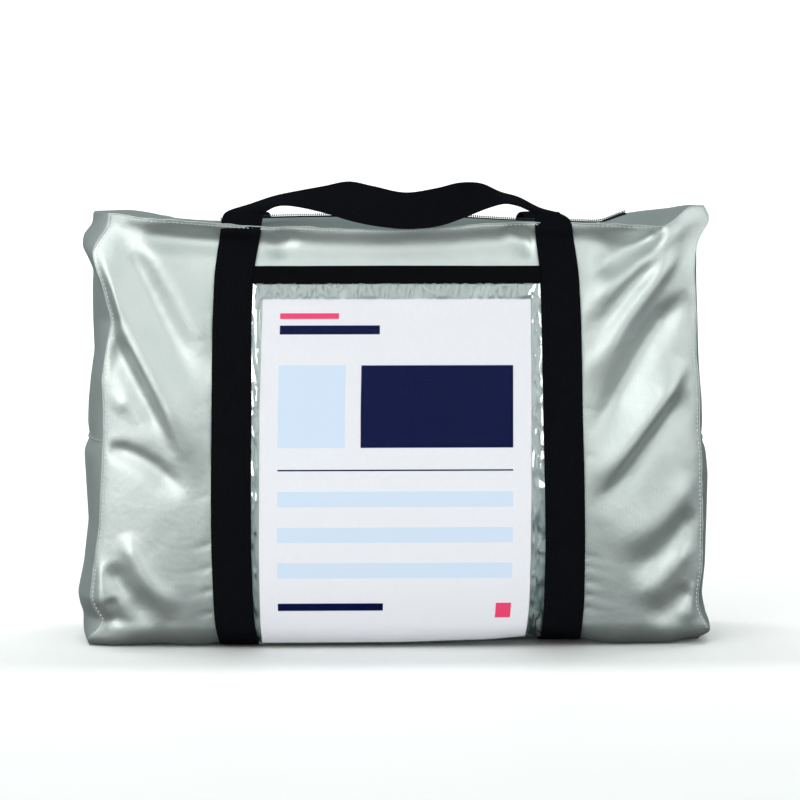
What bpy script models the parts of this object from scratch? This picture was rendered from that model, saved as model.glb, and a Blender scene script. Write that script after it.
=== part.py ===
"""A stuffed storage bag for a boat cover, standing on its base with its handles up.

Units in the tables are millimetres; meshes are made in metres. X runs along the bag, its front
faces -Y, +Z is up, and the origin is on the floor under the middle of the bag.
Every sewn layer is a strip of the same panel grids, lifted off them along their normals.
"""

import bmesh
import bpy
import numpy as np

MM = 0.001

# Driving dimensions.
FRONT_CROWN = 19.0  # how far the stuffed front stands out past its seams
BACK_CROWN = 21.0
EAR_PINCH = 6.0  # how far each seam draws in towards the other at the corners of the bag
BASE_ROLL = 20.0  # radius at which front and back roll under onto the floor
LAYER_GAP = 0.3
END_GAP = 0.6  # between a strap's end and the handle that goes on from it
WEBBING_THICK = 1.8
CARD_THICK = 1.0
FILM_THICK = 1.0
BINDING_THICK = 2.6
ZIP_TAPE_THICK = 1.2
ZIP_COIL_THICK = 3.0
STRAP_REST = LAYER_GAP + WEBBING_THICK  # the base is let up by this over each strap

# Heights on the front panel where a sewn piece starts or ends.
CARD_TOP = 273.5
BINDING_BOTTOM = 285.5
BINDING_TOP = 298.5

# Height, seam on the left, swell of the left gusset, seam on the right, swell of the right gusset.
SIDES = np.array(
    [
        # z,   left,  swell, right, swell
        (0, -241, 3, 241, 2),
        (5, -242, 5, 249, 2),
        (12, -236, 12, 248, 3),
        (21, -230, 18, 243, 6),
        (30, -235, 16, 239, 8),
        (38, -239, 13, 238, 8),
        (62, -236, 11, 241, 7),
        (96, -231, 12, 241, 8),
        (132, -229, 16, 240, 10),
        (150, -228, 18, 240, 8),
        (170, -227, 16, 238, 7),
        (192, -227, 15, 238, 6),
        (210, -228, 12, 237, 5),
        (231, -225, 12, 235, 6),
        (256, -220, 18, 235, 5),
        (280, -226, 12, 234, 5),
        (295, -231, 6, 233, 6),
        (307, -235, 8, 234, 5),
        (314, -231, 13, 237, 4),
        (324, -222, 18, 246, 3),
        (332, -221, 16, 241, 2),
    ],
    float,
)

# Height, then from the middle of the bag to the seams round its front and back.
SEAM_DEPTH = np.array(((0, 52), (40, 56), (110, 57), (200, 54), (280, 50), (340, 46)), float)

# Height, then how much of the crown the slumped filling raises there.
FILL = np.array(((0, 0.8), (50, 0.94), (120, 1.0), (200, 0.9), (260, 0.74), (340, 0.55)), float)

# Along the bag: heights of the front top seam and the back one, and the top gusset's ridge over them.
TOP_SEAM = np.array(
    [
        # x,    front, back, ridge
        (-241, 340.0, 332.0, 1.0),
        (-220, 339.5, 336.5, 1.5),
        (-201, 336.5, 335.5, 4.5),
        (-185, 335.0, 333.5, 3.5),
        (-171, 334.5, 330.0, 1.5),
        (-135, 331.5, 328.0, 1.5),
        (-100, 329.0, 328.0, 5.0),
        (-74, 329.5, 328.0, 5.5),
        (-51, 328.0, 328.0, 6.5),
        (-3, 327.0, 328.0, 7.0),
        (43, 329.0, 328.0, 6.0),
        (69, 331.5, 328.0, 3.0),
        (106, 332.5, 327.0, 1.0),
        (144, 331.5, 326.5, 1.0),
        (165, 331.0, 326.0, 1.0),
        (184, 330.0, 333.0, 5.0),
        (209, 328.5, 336.0, 7.0),
        (218, 334.0, 337.0, 5.0),
        (229, 344.0, 339.0, 2.0),
        (245, 345.5, 339.0, 0.5),
    ],
    float,
)

# Along the bag, then how far the uneven rim of the base stands off the floor.
BASE_LIFT = np.array(
    (
        (-242, 0.5), (-222, 0), (-178, 1.5), (-165, 0.5), (0, 0.8), (50, 2.5), (75, 3.5), (105, 6.8),
        (113, 5), (127, 4.3), (147, 3), (160, 1.5), (171, 0), (205, 0), (217, 0.5), (228, 3.5), (252, 5),
    ),
    float,
)

# Height, then the edges of the left strap, the card and the right strap.
STRIPS = np.array(
    [
        # z,   strap,  strap, card,  card, strap, strap
        (0, -137.0, -106.5, -104.0, 101.0, 113.5, 145.0),
        (20, -141.0, -110.0, -105.5, 102.5, 114.5, 145.5),
        (35, -141.9, -111.0, -106.0, 104.0, 115.5, 147.0),
        (82, -143.4, -112.4, -106.5, 105.0, 116.3, 147.2),
        (128, -143.4, -112.4, -106.0, 105.2, 115.5, 146.5),
        (190, -142.6, -111.6, -105.5, 105.2, 114.2, 145.0),
        (252, -141.9, -111.6, -103.5, 105.2, 113.2, 144.2),
        (292, -140.3, -110.1, -102.3, 105.2, 112.4, 142.6),
        (320, -136.4, -105.4, -100.0, 104.0, 109.3, 138.8),
        (340, -133.5, -102.0, -98.0, 102.0, 107.0, 136.0),
    ],
    float,
)
BAND_CELLS = (13, 3, 1, 9, 1, 3, 14)
BANDS = ("left face", "left strap", "left margin", "card", "right margin", "right strap", "right face")

# Main folds of the front: four places down each, its rise in mm (below 0 for a trough), and how far
# it spreads on its upper side and on its lower side.
FOLDS = np.array(
    [
        # x,   z,    x,    z,    x,    z,    x,    z,   rise, above, below
        (-201, 331, -178, 294, -153, 249, -143, 216, 2.5, 14, 8),
        (-216, 328, -193, 284, -170, 237, -148, 200, -4, 9, 10),
        (-237, 314, -216, 266, -184, 200, -147, 127, 8.5, 17, 7),
        (-224, 249, -209, 227, -191, 194, -170, 151, -4.5, 5, 13),
        (-228, 157, -209, 155, -185, 142, -162, 118, -4, 5, 8),
        (-224, 197, -205, 191, -190, 171, -174, 154, 2.5, 10, 8),
        (-212, 92, -201, 68, -185, 44, -165, 29, 4, 6, 9),
        (-224, 68, -215, 51, -201, 35, -185, 21, -3.8, 9, 7),
        (-235, 72, -233, 54, -230, 34, -223, 13, 3.5, 7, 6),
        (-223, 41, -221, 34, -219, 24, -219, 15, -3, 4, 5),
        (-215, 335, -191, 330, -164, 326, -142, 322, -3.2, 6, 9),
        (-105, 325, -44, 318, 26, 319, 95, 325, -3.6, 7, 9),
        (-78, 325, -83, 319, -89, 313, -97, 306, -3, 6, 5),
        (88, 331, 95, 322, 103, 313, 109, 303, -4, 5, 5),
        (210, 330, 193, 316, 171, 302, 147, 297, -8.5, 12, 6),
        (230, 335, 207, 314, 167, 280, 147, 244, 5, 9, 11),
        (205, 306, 185, 284, 165, 258, 151, 231, -3.4, 7, 7),
        (224, 316, 201, 285, 174, 250, 149, 202, 5.5, 8, 7),
        (229, 278, 207, 255, 182, 216, 150, 154, -8, 8, 14),
        (227, 225, 202, 182, 179, 154, 150, 116, 6, 14, 6),
        (230, 203, 202, 170, 174, 131, 149, 110, -4.8, 5, 12),
        (233, 136, 210, 105, 188, 90, 162, 76, 3.5, 13, 11),
        (235, 110, 212, 80, 195, 66, 179, 56, -4.2, 8, 9),
        (233, 82, 213, 60, 198, 44, 185, 30, 3, 8, 9),
        (232, 48, 222, 37, 210, 27, 196, 19, -3, 9, 8),
        (239, 51, 235, 38, 230, 27, 224, 16, 2.5, 5, 6),
        (145, 323, 160, 326, 181, 324, 198, 320, -3, 6, 8),
    ],
    float,
)
BACK_FOLD_SHARE = 0.6

# Loop of the front handle past its straps: the edge that starts outside, then the one inside.
FRONT_HANDLE = np.array(
    [
        # x,     y,   z,     x,     y,    z
        (-134.6, -52, 334, -103.0, -52, 334),
        (-132.5, -50, 339, -101.5, -52, 339),
        (-127.0, -46, 342, -99.0, -54, 343),
        (-113.0, -38, 346, -94.0, -54, 347),
        (-94.0, -30, 352, -86.0, -56, 349),
        (-75.0, -30, 356, -73.0, -56, 347),
        (-55.0, -38, 360, -54.0, -58, 341),
        (-36.0, -48, 364, -34.0, -62, 334),
        (-18.0, -56, 361, -14.0, -64, 330),
        (7.0, -60, 356, 9.0, -66, 328),
        (31.0, -56, 359, 33.0, -64, 330),
        (50.0, -48, 363, 52.0, -60, 336),
        (67.0, -38, 362, 70.0, -56, 343),
        (83.0, -30, 355, 83.5, -56, 347),
        (97.0, -32, 351, 93.0, -56, 346),
        (113.0, -38, 343, 101.0, -54, 343),
        (128.0, -48, 339, 107.0, -52, 339),
        (136.0, -52, 334, 108.5, -52, 334),
    ],
    float,
)

# Loop of the back handle, which has dropped over behind the bag.
BACK_HANDLE = np.array(
    [
        # x,     y,   z,     x,     y,   z
        (-135.0, 52, 328, -104.0, 52, 328),
        (-132.5, 59, 335, -101.5, 59, 335),
        (-129.0, 70, 331, -98.0, 70, 332),
        (-126.0, 76, 317, -95.0, 76, 319),
        (-122.0, 80, 296, -91.0, 80, 303),
        (-110.0, 82, 274, -82.0, 81, 289),
        (-84.0, 84, 257, -66.0, 82, 281),
        (-48.0, 85, 248, -40.0, 83, 277),
        (2.0, 86, 245, 2.0, 83, 275),
        (50.0, 85, 247, 43.0, 83, 276),
        (88.0, 84, 256, 70.0, 82, 280),
        (114.0, 82, 274, 86.0, 81, 288),
        (126.0, 80, 296, 95.0, 80, 303),
        (130.0, 76, 317, 99.0, 76, 319),
        (133.0, 70, 331, 102.0, 70, 332),
        (136.0, 59, 335, 106.0, 59, 335),
        (138.0, 52, 328, 108.0, 52, 328),
    ],
    float,
)
HANDLE_STATIONS = 44

# Where the lines along the gussets lie, from the front seam (0) to the back seam (1).
GUSSET_LINES = np.array((0.0, 0.08, 0.22, 0.38, 0.5, 0.61, 0.66, 0.77, 0.9, 1.0))
ZIP_LINES = slice(4, 8)
BASE_LINES = slice(2, -2)  # those on which the base lies flat on the floor
ZIP_HALF_LENGTH = 186.0
RIDGE = np.array(((0, 0), (0.38, 1.0), (0.62, 0.8), (1, 0)))  # from seam to seam, share of the ridge
CROSS_SEAM_Z = 162.0  # a seam joins the upper and lower gusset on each side

CROSS_SEAM_DENT = 2.5
CROSS_SEAM_REACH = 7.0
SWELL_SQUARENESS = 2.4  # how flat a gusset's swell is between its two seams

# Shares of the way from the middle of a row (0) to its ends (1), and what begins there.
CORNER_START = 0.78
PINCH_START = 0.86
CORNER_SQUARE = 0.6  # share of the roll that is missing at the corners of the base
PINCH_TOP_FROM = 290.0  # the top corners' pinch grows from here, over the height below
PINCH_TOP_OVER = 45.0
PINCH_BASE_BELOW = 40.0
END_SHARPNESS = 6  # how soon the top and the base take up the swell of the gussets at their ends
TOP_SIDES = 332.0  # height in SIDES that stands for the top seam

# How square the crown is: a power of the place, then a power of what is left.
CROWN_ACROSS = (5, 0.75)
CROWN_UP = (7, 0.8)

# How a fold grows along its line: its spread at the start, what is added by the end, the share of
# the line over which it rises, what it has of that at once, and the share over which it runs out.
FOLD_STATIONS = 16
FOLD_SPREAD = 0.55
FOLD_WIDENING = 0.6
FOLD_ONSET = 0.14
FOLD_HEAD_START = 0.25
FOLD_RUNOUT = 0.35
FOLD_SHARPNESS = 1.5

# Distances over which the folds die away.
FADE_BESIDE_STRAPS = 12.0
FADE_BETWEEN_STRAPS = 8.0
FADE_ABOVE_BINDING = 10.0
FADE_AT_SIDE_SEAM = 10.0
FADE_AT_TOP_SEAM = 7.0
FADE_AT_FLOOR = 14.0

PATH_STEPS = 12  # points of a curve worked out between two of its table's
HANDLE_LINES = 4  # lines of points across a handle
SHARP_ANGLE = np.radians(40)
BAG_MIDDLE = np.array((0.0, 0.0, 165.0))  # a place inside the bag, to tell out from in


def smooth(values):
    """0 below 0 and 1 above 1, with no corner at either end."""
    t = np.clip(values, 0.0, 1.0)
    return t * t * (3.0 - 2.0 * t)


def read(table, at, column):
    return np.interp(at, table[:, 0], table[:, column])


def smooth_path(points, count):
    """A curve through all the points (Catmull-Rom), read at even steps of length."""
    padded = np.vstack([2 * points[0] - points[1], points, 2 * points[-1] - points[-2]])
    fine = []
    for i in range(1, len(padded) - 2):
        p0, p1, p2, p3 = padded[i - 1 : i + 3]
        for t in np.linspace(0, 1, PATH_STEPS, endpoint=False):
            fine.append(
                0.5 * (2 * p1 + (p2 - p0) * t + (2 * p0 - 5 * p1 + 4 * p2 - p3) * t**2
                       + (3 * p1 - p0 - 3 * p2 + p3) * t**3)
            )
    fine.append(points[-1])
    fine = np.array(fine)
    steps = np.linalg.norm(np.diff(fine, axis=0), axis=1)
    run = np.concatenate([[0], np.cumsum(steps)])
    at = np.linspace(0, run[-1], count)
    return np.stack([np.interp(at, run, fine[:, k]) for k in range(fine.shape[1])], axis=1)


def fold_field(x, z):
    """Sum of the folds at a place on the front: narrow at their start, wider as they run out."""
    total = np.zeros_like(x)
    for row in FOLDS:
        line = smooth_path(row[:8].reshape(4, 2), FOLD_STATIONS)
        rise, above, below = row[8:]
        runs_right = np.sign(line[-1, 0] - line[0, 0])
        nearest = np.full_like(x, np.inf)
        along, side = np.zeros_like(x), np.ones_like(x)
        for i, ((x0, z0), (x1, z1)) in enumerate(zip(line[:-1], line[1:])):
            dx, dz = x1 - x0, z1 - z0
            t = np.clip(((x - x0) * dx + (z - z0) * dz) / (dx * dx + dz * dz), 0.0, 1.0)
            away = np.hypot(x - x0 - t * dx, z - z0 - t * dz)
            closer = away < nearest
            nearest = np.where(closer, away, nearest)
            along = np.where(closer, (i + t) / (FOLD_STATIONS - 1), along)
            side = np.where(closer, (dx * (z - z0) - dz * (x - x0)) * runs_right, side)
        reach = np.where(side > 0, above, below) * (FOLD_SPREAD + FOLD_WIDENING * along)
        crest = np.exp(-((nearest / reach) ** FOLD_SHARPNESS))
        onset = smooth(along / FOLD_ONSET + FOLD_HEAD_START)
        total += rise * crest * onset * smooth((1.0 - along) / FOLD_RUNOUT)
    return total


def strap_fade(x, z):
    """0 on a strap or the pocket, 1 on open cloth."""
    outside = np.maximum(read(STRIPS, z, 1) - x, x - read(STRIPS, z, 6))
    above = (z - BINDING_TOP) / FADE_ABOVE_BINDING
    between = np.minimum(x - read(STRIPS, z, 2), read(STRIPS, z, 5) - x) / FADE_BETWEEN_STRAPS
    return np.maximum(smooth(outside / FADE_BESIDE_STRAPS), smooth(np.minimum(above, between)))


# Rows of a panel: angles on the roll under the base, heights up the face, shares of the way on up.
ROLL_ANGLES = np.radians((90, 50, 25))
FACE_ROWS = 25
FACE = np.concatenate(
    [
        np.linspace(BASE_ROLL, CARD_TOP, FACE_ROWS),
        np.linspace(BINDING_BOTTOM, BINDING_TOP, 3),
    ]
)
TOP_ROWS = (0.27, 0.53, 0.78, 1.0)
ROWS = len(ROLL_ANGLES) + len(FACE) + len(TOP_ROWS)
COLUMNS = sum(BAND_CELLS) + 1
FILM_BOTTOM_ROW = 1
CARD_TOP_ROW = len(ROLL_ANGLES) + FACE_ROWS - 1
BINDING_ROW = CARD_TOP_ROW + 1
BINDING_TOP_ROW = BINDING_ROW + 2


def column_lines(z):
    """X of every column at height z, with a column on each edge of the strips."""
    edges = [read(SIDES, z, 1)] + [read(STRIPS, z, c) for c in range(1, 7)] + [read(SIDES, z, 3)]
    xs = [edges[0]]
    for start, end, cells in zip(edges, edges[1:], BAND_CELLS):
        xs += [start + (end - start) * (i + 1) / cells for i in range(cells)]
    return np.array(xs)


def first_column(band):
    return sum(BAND_CELLS[: BANDS.index(band)])


def last_column(band):
    return first_column(band) + BAND_CELLS[BANDS.index(band)]


def strap_columns(name):
    return slice(first_column(name + " strap"), last_column(name + " strap") + 1)


def from_middle(x):
    """0 half way between a row's ends, 1 at both."""
    return np.abs(2.0 * (x - x[0]) / (x[-1] - x[0]) - 1.0)


def strap_rest():
    """Height of the base over each column: let up on the straps."""
    rest = np.zeros(COLUMNS)
    for name in ("left", "right"):
        rest[strap_columns(name)] = STRAP_REST
    return rest


def roll_row(angle):
    """A row on the roll under the base: x and z of its points, and how far each is tucked under."""
    x = column_lines(BASE_ROLL * (1 - np.sin(angle)))
    floor = strap_rest() + read(BASE_LIFT, x, 1)
    z = floor + (BASE_ROLL - floor) * (1 - np.sin(angle))
    corner = smooth((from_middle(x) - CORNER_START) / (1 - CORNER_START))
    radius = BASE_ROLL * (1 - CORNER_SQUARE * corner)
    return x, z, radius * (1 - np.cos(angle))


def face_row(height):
    """A level row of the face, with nothing tucked under."""
    return column_lines(height), np.full(COLUMNS, height), np.zeros(COLUMNS)


def top_row(share, seam_column):
    """A row between the binding's height and the top seam."""
    x = column_lines(BINDING_TOP + share * (TOP_SIDES - BINDING_TOP))
    z = BINDING_TOP + share * (read(TOP_SEAM, x, seam_column) - BINDING_TOP)
    return x, z, np.zeros(COLUMNS)


def crown_share(x, z, top):
    """How much of the crown a row's points have: none at the seams round it, all where it is fullest."""
    across = 1.0 - from_middle(x) ** CROWN_ACROSS[0]
    up = 1.0 - np.clip(z / top, 0.0, 1.0) ** CROWN_UP[0]
    return across ** CROWN_ACROSS[1] * up ** CROWN_UP[1] * read(FILL, z, 1)


def panel(side):
    """Grid of the front (side -1) or back (side +1) panel: rows up from under the base."""
    is_front = side < 0
    seam_column = 1 if is_front else 2
    crown = FRONT_CROWN if is_front else BACK_CROWN
    fold_share = 1.0 if is_front else BACK_FOLD_SHARE
    rows = [roll_row(angle) for angle in ROLL_ANGLES]
    rows += [face_row(height) for height in FACE]
    rows += [top_row(share, seam_column) for share in TOP_ROWS]
    grid = []
    for x, z, tuck in rows:
        top = read(TOP_SEAM, x, seam_column)
        to_side = np.minimum(x - x[0], x[-1] - x)
        folds = fold_share * fold_field(-side * x, z) * strap_fade(x, z)
        folds *= smooth(to_side / FADE_AT_SIDE_SEAM) * smooth((top - z) / FADE_AT_TOP_SEAM)
        folds *= smooth(z / FADE_AT_FLOOR)
        at_corner = smooth((z - PINCH_TOP_FROM) / PINCH_TOP_OVER)
        at_corner += 0.5 * smooth((PINCH_BASE_BELOW - z) / PINCH_BASE_BELOW)
        pinch = EAR_PINCH * smooth((from_middle(x) - PINCH_START) / (1 - PINCH_START)) * at_corner
        depth = read(SEAM_DEPTH, z, 1) + crown * crown_share(x, z, top) + folds - pinch - tuck
        grid.append(np.stack([x, side * depth, z], axis=1))
    return np.array(grid)


def gusset_side(front, back, column, facing):
    """Grid between the seams of front and back at one end of the bag."""
    t = GUSSET_LINES[None, :, None]
    grid = (1 - t) * front[:, column][:, None] + t * back[:, column][:, None]
    z = front[:, column, 2]
    swell = read(SIDES, z, 2 if facing < 0 else 4)
    across = 1.0 - np.abs(2.0 * GUSSET_LINES - 1.0) ** SWELL_SQUARENESS
    seam = CROSS_SEAM_DENT * np.exp(-(((z - CROSS_SEAM_Z) / CROSS_SEAM_REACH) ** 2))
    grid[:, :, 0] += facing * (swell - seam)[:, None] * across[None, :]
    return grid


def cap(front_row, back_row, left_end, right_end, rise):
    """Grid between two rows of front and back, meeting the end gussets' own edges."""
    t = GUSSET_LINES[None, :, None]
    flat = (1 - t) * front_row[:, None] + t * back_row[:, None]
    u = np.linspace(0.0, 1.0, COLUMNS)[:, None, None]
    to_left, to_right = (1 - u) ** END_SHARPNESS, u**END_SHARPNESS
    ends = to_left * (left_end - flat[0])[None] + to_right * (right_end - flat[-1])[None]
    grid = flat + ends
    grid[1:-1, 1:-1, 2] += rise[1:-1, 1:-1]
    return grid


def outward(grid):
    """Unit normals of a grid, by differences along its rows and columns, facing out of the bag."""
    n = np.cross(np.gradient(grid, axis=1), np.gradient(grid, axis=0))
    n /= np.linalg.norm(n, axis=2, keepdims=True)
    return n if np.sum(n * (grid - BAG_MIDDLE)) > 0 else -n


def material(name, colour, roughness, metallic=0.0, alpha=1.0):
    made = bpy.data.materials.new(name)
    made.use_nodes = True
    shader = made.node_tree.nodes["Principled BSDF"]
    shader.inputs["Base Color"].default_value = (*colour, 1.0)
    shader.inputs["Roughness"].default_value = roughness
    shader.inputs["Metallic"].default_value = metallic
    shader.inputs["Alpha"].default_value = alpha
    return made


def solid(name, grids, look):
    """One closed body from grids of points that meet along their edges."""
    shape = bmesh.new()
    for grid in grids:
        points = [[shape.verts.new(p * MM) for p in row] for row in grid]
        for r in range(len(points) - 1):
            for c in range(len(points[0]) - 1):
                a, b = points[r][c], points[r][c + 1]
                d, e = points[r + 1][c + 1], points[r + 1][c]
                shape.faces.new((a, b, d))
                shape.faces.new((a, d, e))
    bmesh.ops.remove_doubles(shape, verts=shape.verts, dist=1e-6)
    bmesh.ops.dissolve_degenerate(shape, edges=shape.edges, dist=1e-7)
    bmesh.ops.recalc_face_normals(shape, faces=shape.faces)
    mesh = bpy.data.meshes.new(name)
    shape.to_mesh(mesh)
    shape.free()
    mesh.shade_smooth()
    mesh.set_sharp_from_angle(angle=SHARP_ANGLE)
    mesh.materials.append(look)
    made = bpy.data.objects.new(name, mesh)
    bpy.context.scene.collection.objects.link(made)
    return made


def layer(name, grid, out, inner, outer, look):
    """A sheet on a grid of points, between two distances along the normals `out`."""
    low = grid + out * np.asarray(inner)
    high = grid + out * np.asarray(outer)
    rims = [
        np.stack([low[0], high[0]]),
        np.stack([low[-1], high[-1]]),
        np.stack([low[:, 0], high[:, 0]]),
        np.stack([low[:, -1], high[:, -1]]),
    ]
    return solid(name, [low, high] + rims, look)


def drawn_in(edge, inside, gap):
    """An outer line of a grid moved towards the line next to it by `gap`."""
    step = inside - edge
    return edge + step * gap / np.linalg.norm(step, axis=1, keepdims=True)


def clear_of_straps(grid):
    """The grid with its first and last columns drawn in from the straps beside it."""
    moved = grid.copy()
    moved[:, 0] = drawn_in(grid[:, 0], grid[:, 1], 2 * LAYER_GAP)
    moved[:, -1] = drawn_in(grid[:, -1], grid[:, -2], 2 * LAYER_GAP)
    return moved


def handle(name, table, left_top, right_top, look):
    """A webbing loop between two straps, whose tops are given as outer and inner corner."""
    edges = smooth_path(np.vstack([left_top, table, right_top]), HANDLE_STATIONS)
    across = np.linspace(0.0, 1.0, HANDLE_LINES)[None, :, None]
    grid = edges[:, None, :3] * (1 - across) + edges[:, None, 3:] * across
    half = WEBBING_THICK / 2
    return layer(name, grid, outward(grid), -half, half, look)


def build():
    for old in list(bpy.data.objects):
        bpy.data.objects.remove(old, do_unlink=True)

    silver = material("silver_cloth", (0.62, 0.68, 0.67), 0.38, 0.7)
    black = material("black_webbing", (0.012, 0.013, 0.018), 0.75)
    tape = material("black_binding", (0.014, 0.014, 0.016), 0.6)
    film = material("clear_film", (0.9, 0.95, 0.95), 0.08, 0.0, 0.25)
    card = material("printed_card", (0.83, 0.81, 0.84), 0.5)
    zip_black = material("zip_tape", (0.015, 0.015, 0.018), 0.65)

    front, back = panel(-1), panel(1)
    left = gusset_side(front, back, 0, -1)
    right = gusset_side(front, back, -1, 1)
    ridge_shape = np.sin(0.5 * np.pi * np.interp(GUSSET_LINES, RIDGE[:, 0], RIDGE[:, 1]))
    rise = read(TOP_SEAM, front[-1, :, 0], 3)[:, None] * ridge_shape[None, :]
    top = cap(front[-1], back[-1], left[-1], right[-1], rise)
    base = cap(front[0], back[0], left[0], right[0], np.zeros((COLUMNS, len(GUSSET_LINES))))
    base[1:-1, BASE_LINES, 2] = strap_rest()[1:-1, None]
    solid("bag_body", [front, back, left, right, top, base], silver)

    for name in ("left", "right"):
        band = strap_columns(name)
        under = base[band].transpose(1, 0, 2)
        run = np.concatenate([front[-2:0:-1, band], under, back[1:-1, band]])
        layer("strap_" + name, run, outward(run), LAYER_GAP, STRAP_REST, black)

    def strap_top(grid, name):
        """Middle of the webbing just past the outer and the inner corner of a strap's top."""
        strip = grid[:-1, strap_columns(name)]
        webbing = strip + outward(strip) * (LAYER_GAP + WEBBING_THICK / 2)
        up = webbing[-1] - webbing[-2]
        up /= np.linalg.norm(up, axis=1, keepdims=True)
        corners = (webbing[-1] + up * END_GAP)[[0, -1]]
        return np.concatenate(corners if name == "left" else corners[::-1])

    handle("handle_front", FRONT_HANDLE, strap_top(front, "left"), strap_top(front, "right"), black)
    handle("handle_back", BACK_HANDLE, strap_top(back, "left"), strap_top(back, "right"), black)

    panel_out = outward(front)
    card_columns = slice(first_column("card"), last_column("card") + 1)
    card_rows = slice(FILM_BOTTOM_ROW, CARD_TOP_ROW + 1)
    layer("insert_card", front[card_rows, card_columns], panel_out[card_rows, card_columns],
          LAYER_GAP, LAYER_GAP + CARD_THICK, card)

    pocket = slice(last_column("left strap"), first_column("right strap") + 1)
    film_rows = slice(FILM_BOTTOM_ROW, BINDING_ROW + 1)
    film_grid = clear_of_straps(front[film_rows, pocket])
    film_grid[-1] = drawn_in(film_grid[-1], film_grid[-2], 2 * LAYER_GAP)
    film_low = 2 * LAYER_GAP + CARD_THICK
    layer("pocket_window", film_grid, panel_out[film_rows, pocket], film_low, film_low + FILM_THICK, film)

    binding_rows = slice(BINDING_ROW, BINDING_TOP_ROW + 1)
    binding_grid = clear_of_straps(front[binding_rows, pocket])
    layer("pocket_binding", binding_grid, panel_out[binding_rows, pocket],
          LAYER_GAP, LAYER_GAP + BINDING_THICK, tape)

    inside = np.abs(front[-1, :, 0]) < ZIP_HALF_LENGTH
    zip_grid = top[inside, ZIP_LINES]
    heights = LAYER_GAP + np.array((ZIP_TAPE_THICK, ZIP_COIL_THICK, ZIP_COIL_THICK, ZIP_TAPE_THICK))
    layer("zip", zip_grid, outward(zip_grid), LAYER_GAP, heights[None, :, None], zip_black)


build()
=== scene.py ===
"""The looks of a stuffed storage bag with webbing handles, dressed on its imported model.

Tables and surface functions are in millimetres, as in the model's own frame: X along the bag,
front to -Y, +Z up, origin on the floor under the bag. Meshes are made in metres.
"""

import bmesh
import bpy
import numpy as np
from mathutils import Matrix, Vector, noise


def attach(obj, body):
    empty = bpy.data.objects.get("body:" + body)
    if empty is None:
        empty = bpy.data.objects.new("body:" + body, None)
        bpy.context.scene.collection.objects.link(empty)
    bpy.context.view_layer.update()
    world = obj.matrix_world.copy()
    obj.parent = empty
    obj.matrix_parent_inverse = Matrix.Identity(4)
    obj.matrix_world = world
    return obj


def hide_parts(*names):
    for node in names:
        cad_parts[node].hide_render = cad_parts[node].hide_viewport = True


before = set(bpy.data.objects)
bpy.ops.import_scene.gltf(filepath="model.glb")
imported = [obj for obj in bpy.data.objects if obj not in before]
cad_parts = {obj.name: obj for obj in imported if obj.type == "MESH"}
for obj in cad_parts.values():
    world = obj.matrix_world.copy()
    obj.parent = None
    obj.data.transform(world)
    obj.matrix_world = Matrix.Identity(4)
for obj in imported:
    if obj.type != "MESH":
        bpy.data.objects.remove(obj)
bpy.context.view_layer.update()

MM = 0.001
BODY = "root"

# Sizes of the sewn layers, from the cloth outwards.
FRONT_CROWN = 19.0
BACK_CROWN = 21.0
EAR_PINCH = 6.0
BASE_ROLL = 20.0
LAYER_GAP = 0.3
WEBBING_THICK = 1.8
CARD_THICK = 0.5
FILM_THICK = 0.35
BINDING_THICK = 2.6
ZIP_TAPE_THICK = 0.8
STRAP_REST = LAYER_GAP + WEBBING_THICK

# Heights on the front where a sewn piece starts or ends.
CARD_TOP = 273.5
BINDING_BOTTOM = 285.5
BINDING_TOP = 298.5


def as_table(*rows):
    return np.array(rows, float)


# Height, seam on the left, swell of the left gusset, seam on the right, swell of the right gusset.
SIDES = as_table(
    (0, -241, 3, 241, 2),
    (5, -242, 5, 249, 2),
    (12, -236, 12, 248, 3),
    (21, -230, 18, 243, 6),
    (30, -235, 16, 239, 8),
    (38, -239, 13, 238, 8),
    (62, -236, 11, 241, 7),
    (96, -231, 12, 241, 8),
    (132, -229, 16, 240, 10),
    (150, -228, 18, 240, 8),
    (170, -227, 16, 238, 7),
    (192, -227, 15, 238, 6),
    (210, -228, 12, 237, 5),
    (231, -225, 12, 235, 6),
    (256, -220, 18, 235, 5),
    (280, -226, 12, 234, 5),
    (295, -231, 6, 233, 6),
    (307, -235, 8, 234, 5),
    (314, -231, 13, 237, 4),
    (324, -222, 18, 246, 3),
    (332, -221, 16, 241, 2),
)

# Height, then from the middle of the bag to the seams round its front and back.
SEAM_DEPTH = as_table((0, 52), (40, 56), (110, 57), (200, 54), (280, 51), (340, 49))

# Height, then how much of the crown the slumped filling raises there.
FILL = as_table((0, 0.8), (50, 0.94), (120, 1), (200, 0.9), (260, 0.74), (340, 0.55))

# Along the bag: heights of the front top seam and the back one, and the top gusset's ridge over them.
TOP_SEAM = as_table(
    (-241, 340, 332, 1),
    (-220, 339.5, 336.5, 1.5),
    (-201, 336.5, 335.5, 4.5),
    (-185, 335, 333.5, 3.5),
    (-171, 334.5, 330, 1.5),
    (-135, 331.5, 328, 1.5),
    (-100, 329, 328, 5),
    (-74, 329.5, 328, 5.5),
    (-51, 328, 328, 6.5),
    (-3, 327, 328, 7),
    (43, 329, 328, 6),
    (69, 331.5, 328, 3),
    (106, 332.5, 327, 1),
    (144, 331.5, 326.5, 1),
    (165, 331, 326, 1),
    (184, 330, 333, 5),
    (209, 328.5, 336, 7),
    (218, 334, 337, 5),
    (229, 344, 339, 2),
    (245, 345.5, 339, 0.5),
)

# Along the bag, then how far the uneven rim of the base stands off the floor.
BASE_LIFT = as_table(
    (-242, 0.5), (-222, 0), (-178, 1.5), (-165, 0.5), (0, 0.8), (50, 2.5), (75, 3.5), (105, 6.8),
    (113, 5), (127, 4.3), (147, 3), (160, 1.5), (171, 0), (205, 0), (217, 0.5), (228, 3.5), (252, 5),
)

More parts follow.
